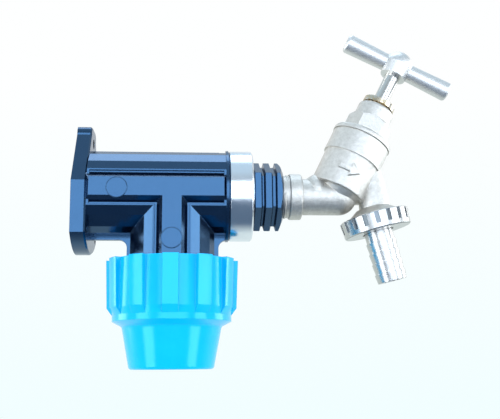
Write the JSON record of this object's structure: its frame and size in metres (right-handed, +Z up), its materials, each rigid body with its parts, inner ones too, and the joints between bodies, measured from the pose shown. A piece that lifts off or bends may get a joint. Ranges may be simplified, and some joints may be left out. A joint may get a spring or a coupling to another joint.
{
  "type": "wall plate bib tap",
  "caption": "Garden bib tap with T handle and hose union, screwed by a reducing bush into a black wall plate elbow with a blue compression nut for water pipe.",
  "frame": {"origin": "middle of the wall plate's back face, on the barrel's axis", "axes": "+X out of the wall along the barrel, +Z up, -Y towards the viewer"},
  "size_m": [0.1893, 0.063, 0.1698],
  "materials": {
    "black_plastic": "satin moulded polypropylene",
    "blue_plastic": "satin moulded polypropylene",
    "white_acetal": "satin acetal",
    "stainless_steel": "polished",
    "cast_nickel_brass": "satin nickel over cast brass",
    "bright_nickel_brass": "bright nickel over brass",
    "bare_brass": "machined brass",
    "rubber": "matt",
    "fibre": "vulcanised fibre",
    "packing": "graphited packing"
  },
  "bodies": {
    "fitting": {"wall_elbow": "black_plastic", "reinforcing_ring": "stainless_steel", "thrust_ring": "white_acetal", "pipe_seal": "rubber", "reducing_bush": "black_plastic", "tap_body": "cast_nickel_brass", "bonnet_washer": "fibre", "bonnet": "cast_nickel_brass", "gland_packing": "packing", "gland_nut": "bright_nickel_brass"},
    "valve": {"jumper_valve": "bare_brass", "tap_washer": "rubber", "washer_nut": "bare_brass"},
    "handle": {"spindle": "bright_nickel_brass", "crutch_handle": "bright_nickel_brass", "handle_screw": "stainless_steel"},
    "tail": {"hose_tail": "bright_nickel_brass", "outlet_washer": "rubber"},
    "union": {"union_nut": "bright_nickel_brass"},
    "grip": {"grip_ring": "white_acetal"},
    "nut": {"compression_nut": "blue_plastic"}
  },
  "joints": [
    {"name": "valve_lift", "type": "slide", "parent": "fitting", "child": "valve", "axis": [0.454, 0, 0.891], "range_m": [0, 0.0045]},
    {"name": "handle_turn", "type": "hinge", "parent": "valve", "child": "handle", "pos_m": [0.126, 0, 0], "axis": [0.454, 0, 0.891], "range_deg": [0, 810]},
    {"name": "tail_drop", "type": "slide", "parent": "fitting", "child": "tail", "axis": [0.2419, 0, -0.9703], "range_m": [0, 0.00272]},
    {"name": "union_turn", "type": "hinge", "parent": "tail", "child": "union", "pos_m": [0.1467, 0, -0.0134], "axis": [0.2419, 0, -0.9703], "range_deg": [0, 540]},
    {"name": "grip_drop", "type": "slide", "parent": "fitting", "child": "grip", "axis": [0, 0, -1], "range_m": [0, 0.01]},
    {"name": "nut_turn", "type": "hinge", "parent": "grip", "child": "nut", "pos_m": [0.0465, 0, -0.06], "axis": [0, 0, -1], "range_deg": [0, 720]}
  ],
  "couplings": [
    {"joint": "handle_turn", "follows": "valve_lift", "rad_per_m": 3141.6},
    {"joint": "union_turn", "follows": "tail_drop", "rad_per_m": 3463.7},
    {"joint": "nut_turn", "follows": "grip_drop", "rad_per_m": 1256.6}
  ]
}
